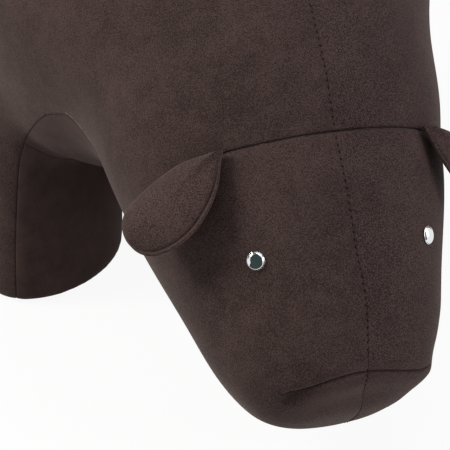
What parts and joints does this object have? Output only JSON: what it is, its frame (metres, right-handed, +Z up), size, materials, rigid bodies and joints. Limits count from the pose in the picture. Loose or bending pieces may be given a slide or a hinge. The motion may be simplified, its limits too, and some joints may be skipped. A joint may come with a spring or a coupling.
{
  "type": "bear pouf",
  "caption": "Low upholstered seat shaped as a standing bear with lowered head, sewn suede panels over foam and a timber frame, stub legs and sprung ear flaps.",
  "frame": {"origin": "on the floor, under the middle of the whole object's length and width", "axes": "+Z up, the bear faces -Y, its right side is -X"},
  "size_m": [0.3812, 0.8582, 0.4226],
  "materials": {
    "suede": "short-nap suede cloth",
    "wadding": "soft polyester wadding",
    "foam": "open-cell upholstery foam",
    "chrome": "polished",
    "steel": "zinc plated",
    "glide": "moulded nylon",
    "lining": "non-woven lining cloth",
    "plywood": "birch plywood, unfinished",
    "timber": "planed softwood"
  },
  "bodies": {
    "pouf": {"back_foam": "foam", "belly_gusset": "suede", "corner_block_front_left": "timber", "corner_block_front_right": "timber", "corner_block_hind_left": "timber", "corner_block_hind_right": "timber", "cross_rail_front": "timber", "cross_rail_hind": "timber", "eye_cap_left": "chrome", "eye_cap_right": "chrome", "eye_washer_left": "steel", "eye_washer_right": "steel", "flank_cover_left": "suede", "flank_cover_right": "suede", "foot_board_front_left": "plywood", "foot_board_front_right": "plywood", "foot_board_hind_left": "plywood", "foot_board_hind_right": "plywood", "foot_cloth_front_left": "lining", "foot_cloth_front_right": "lining", "foot_cloth_hind_left": "lining", "foot_cloth_hind_right": "lining", "frame_screws": "steel", "glides": "glide", "head_cover_left": "suede", "head_cover_right": "suede", "head_foam": "foam", "head_keel": "plywood", "keel_cleat_left": "timber", "keel_cleat_right": "timber", "leg_foam_front_left": "foam", "leg_foam_front_right": "foam", "leg_foam_hind_left": "foam", "leg_foam_hind_right": "foam", "leg_post_front_left": "timber", "leg_post_front_right": "timber", "leg_post_hind_left": "timber", "leg_post_hind_right": "timber", "neck_foam": "foam", "seat_board": "plywood", "side_rail_left": "timber", "side_rail_right": "timber"},
    "right_ear": {"ear_right_top": "suede", "ear_right_under": "suede", "ear_right_wadding": "wadding"},
    "left_ear": {"ear_left_top": "suede", "ear_left_under": "suede", "ear_left_wadding": "wadding"}
  },
  "joints": [
    {"name": "right_ear_flap", "type": "hinge", "parent": "pouf", "child": "right_ear", "pos_m": [-0.08214, -0.33755, 0.22547], "axis": [-0.7156, 0.5651, -0.4106], "range_deg": [-12, 35], "stiffness_Nm_per_rad": 0.25},
    {"name": "left_ear_flap", "type": "hinge", "parent": "pouf", "child": "left_ear", "pos_m": [0.08214, -0.33755, 0.22547], "axis": [-0.7156, -0.5651, 0.4106], "range_deg": [-12, 35], "stiffness_Nm_per_rad": 0.25}
  ]
}
